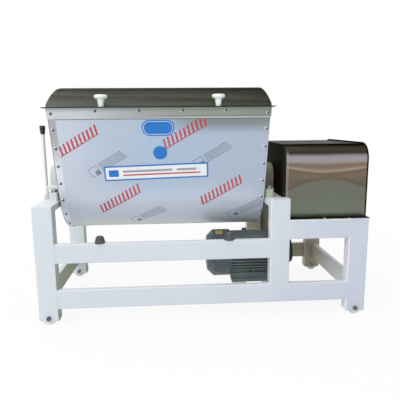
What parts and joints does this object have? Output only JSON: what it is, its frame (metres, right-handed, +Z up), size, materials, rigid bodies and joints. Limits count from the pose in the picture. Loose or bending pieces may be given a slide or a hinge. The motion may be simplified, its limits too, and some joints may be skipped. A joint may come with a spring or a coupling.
{
  "type": "dough mixer",
  "caption": "Dough mixer on a wheeled tube frame: tilting trough with blades on a level shaft, hinged vaulted lid, lock lever and covered belt and gear drive.",
  "frame": {"origin": "centre of the whole part's box, on the floor under the wheels", "axes": "+Z up, +X along the trough towards the drive end, -Y towards the front, where the trough tilts to"},
  "size_m": [1.025, 0.519, 0.7253],
  "materials": {
    "frame_paint": "satin off-white enamel over welded tube",
    "block_paint": "satin enamel on cast iron",
    "bumper_rubber": "matt black",
    "zinc_steel": "bright zinc plate",
    "wheel_nylon": "satin white nylon",
    "filmed_steel": "stainless sheet under a blue-white protective film",
    "trough_steel": "brushed stainless",
    "trunnion_steel": "turned stainless",
    "bush_bronze": "machined bronze",
    "lid_steel": "brushed stainless, reads dark",
    "knob_plastic": "gloss white",
    "shaft_steel": "ground steel",
    "blade_steel": "satin stainless",
    "gear_iron": "machined teeth on cast iron",
    "pulley_iron": "black painted cast iron",
    "belt_rubber": "matt black",
    "motor_paint": "satin dark grey enamel",
    "fan_plastic": "matt black",
    "cover_steel": "polished stainless",
    "grip_plastic": "satin black"
  },
  "bodies": {
    "frame": {"left_front_leg": "frame_paint", "left_rear_leg": "frame_paint", "right_front_leg": "frame_paint", "right_rear_leg": "frame_paint", "mid_front_post": "frame_paint", "mid_rear_post": "frame_paint", "front_lower_rail": "frame_paint", "rear_lower_rail": "frame_paint", "front_upper_rail": "frame_paint", "front_step_rail": "frame_paint", "rear_step_rail": "frame_paint", "left_lower_cross_rail": "frame_paint", "right_lower_cross_rail": "frame_paint", "left_top_cross_member": "frame_paint", "mid_top_cross_member": "frame_paint", "right_top_cross_member": "frame_paint", "gear_support_members": "frame_paint", "motor_base_rails": "frame_paint", "rubber_bumpers": "bumper_rubber", "left_trunnion_block": "block_paint", "right_trunnion_block": "block_paint", "mounting_bolts": "zinc_steel", "wheel_axle_bolts": "zinc_steel", "outboard_bearing_block": "block_paint", "countershaft_blocks": "block_paint", "v_belts": "belt_rubber", "motor_housing": "motor_paint", "motor_end_shield": "motor_paint", "motor_fan_cover": "motor_paint", "motor_terminal_box": "motor_paint", "drive_cover": "cover_steel", "drive_cover_screws": "zinc_steel", "lever_bracket": "frame_paint"},
    "trough": {"trough_shell": "filmed_steel", "left_end_plate": "trough_steel", "right_end_plate": "trough_steel", "rim_band": "trough_steel", "trough_screws": "zinc_steel", "left_trunnion": "trunnion_steel", "right_trunnion": "trunnion_steel", "shaft_bushes": "bush_bronze", "trough_hinge_leaves": "trough_steel"},
    "lid": {"lid_shell": "lid_steel", "lid_knobs": "knob_plastic", "lid_hinge_leaves": "trough_steel"},
    "mixer": {"mixing_shaft": "shaft_steel", "mixing_blades": "blade_steel", "large_gear": "gear_iron"},
    "layshaft": {"countershaft": "shaft_steel", "drive_pinion": "gear_iron", "driven_pulley": "pulley_iron"},
    "motor_rotor": {"motor_shaft": "shaft_steel", "motor_fan": "fan_plastic", "motor_pulley": "pulley_iron"},
    "lever": {"lock_lever": "frame_paint", "lever_grip": "grip_plastic"},
    "left_front_roller": {"left_front_wheel": "wheel_nylon"},
    "left_rear_roller": {"left_rear_wheel": "wheel_nylon"},
    "right_front_roller": {"right_front_wheel": "wheel_nylon"},
    "right_rear_roller": {"right_rear_wheel": "wheel_nylon"}
  },
  "joints": [
    {"name": "trough_tilt", "type": "hinge", "parent": "frame", "child": "trough", "pos_m": [-0.5045, 0.0034, 0.425], "axis": [1, 0, 0], "range_deg": [0, 68.5]},
    {"name": "lid_hinge", "type": "hinge", "parent": "trough", "child": "lid", "pos_m": [-0.4485, 0.25347, 0.6469], "axis": [-1, 0, 0], "range_deg": [0, 100]},
    {"name": "mixing_shaft_spin", "type": "hinge", "parent": "frame", "child": "mixer", "pos_m": [-0.5005, 0.0034, 0.425], "axis": [1, 0, 0], "continuous": true},
    {"name": "countershaft_spin", "type": "hinge", "parent": "frame", "child": "layshaft", "pos_m": [0.264, 0.08987, 0.3415], "axis": [1, 0, 0], "continuous": true},
    {"name": "motor_spin", "type": "hinge", "parent": "frame", "child": "motor_rotor", "pos_m": [0.015, -0.0846, 0.174], "axis": [1, 0, 0], "continuous": true},
    {"name": "lever_swing", "type": "hinge", "parent": "frame", "child": "lever", "pos_m": [-0.5025, -0.0946, 0.382], "axis": [0, -1, 0], "range_deg": [-5, 22]},
    {"name": "left_front_roll", "type": "hinge", "parent": "frame", "child": "left_front_roller", "pos_m": [-0.4825, -0.2146, 0.022], "axis": [0, 1, 0], "continuous": true},
    {"name": "left_rear_roll", "type": "hinge", "parent": "frame", "child": "left_rear_roller", "pos_m": [-0.4825, 0.2214, 0.022], "axis": [0, 1, 0], "continuous": true},
    {"name": "right_front_roll", "type": "hinge", "parent": "frame", "child": "right_front_roller", "pos_m": [0.4775, -0.2146, 0.022], "axis": [0, 1, 0], "continuous": true},
    {"name": "right_rear_roll", "type": "hinge", "parent": "frame", "child": "right_rear_roller", "pos_m": [0.4775, 0.2214, 0.022], "axis": [0, 1, 0], "continuous": true}
  ],
  "couplings": [
    {"joint": "countershaft_spin", "follows": "mixing_shaft_spin", "ratio": -5},
    {"joint": "motor_spin", "follows": "mixing_shaft_spin", "ratio": -11.875}
  ]
}
